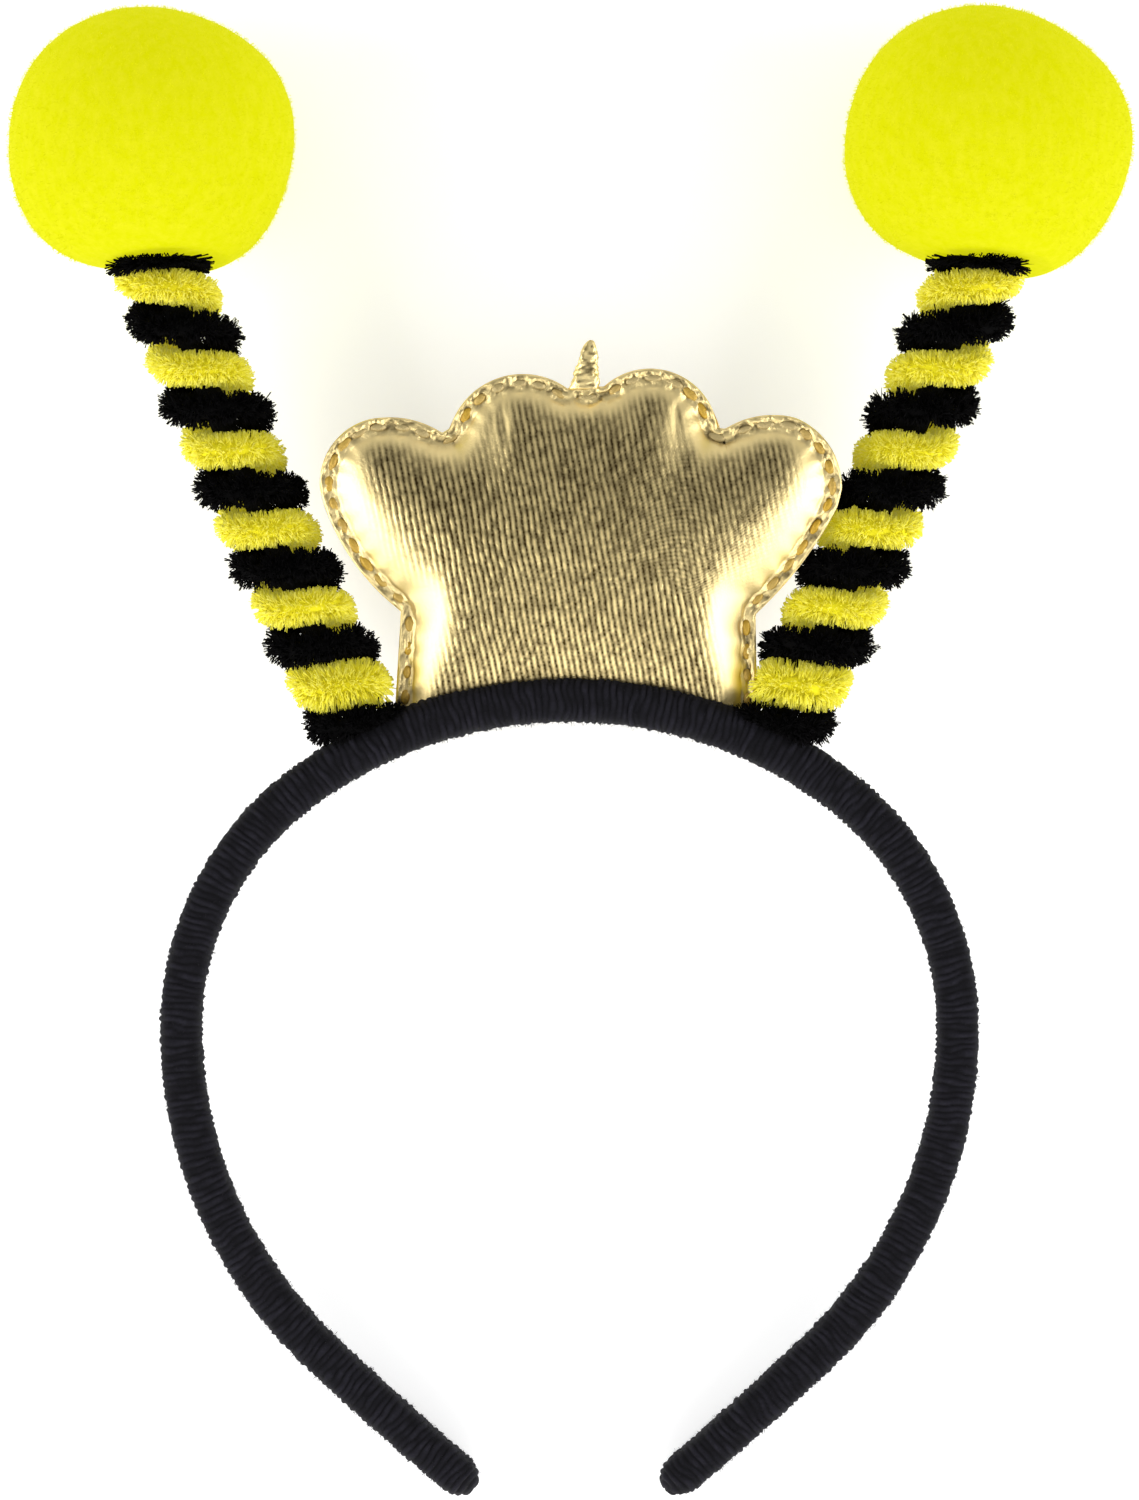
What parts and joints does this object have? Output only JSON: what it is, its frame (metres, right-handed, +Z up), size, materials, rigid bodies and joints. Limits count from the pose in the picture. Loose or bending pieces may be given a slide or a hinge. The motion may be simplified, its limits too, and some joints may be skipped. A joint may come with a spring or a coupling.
{
  "type": "bee antenna headband",
  "caption": "Costume headband with a ribbed black band, a padded gold crown and sprung stalks wound in black and yellow chenille that end in soft yellow balls.",
  "frame": {"origin": "bottom centre of the bounding box, on the surface the headband lies on", "axes": "+X across the head, to the right as the headband is seen from its front, +Y from the tips of the band towards the balls, +Z up from the surface and out of the front of the headband"},
  "size_m": [0.1916, 0.2532, 0.0479],
  "materials": {
    "band_cloth": "matte ribbed knit",
    "gold_cloth": "ribbed metallic cloth",
    "post": "matte",
    "black_chenille": "short deep pile",
    "yellow_chenille": "short deep pile",
    "ball_fleece": "fine matte fleece"
  },
  "bodies": {
    "root": {"band": "band_cloth", "crown_front": "gold_cloth", "crown_back": "gold_cloth", "crown_tip": "gold_cloth", "left_stalk_core": "post", "left_black_chenille": "black_chenille", "left_yellow_chenille": "yellow_chenille", "left_ball": "ball_fleece", "right_stalk_core": "post", "right_black_chenille": "black_chenille", "right_yellow_chenille": "yellow_chenille", "right_ball": "ball_fleece"}
  },
  "joints": []
}
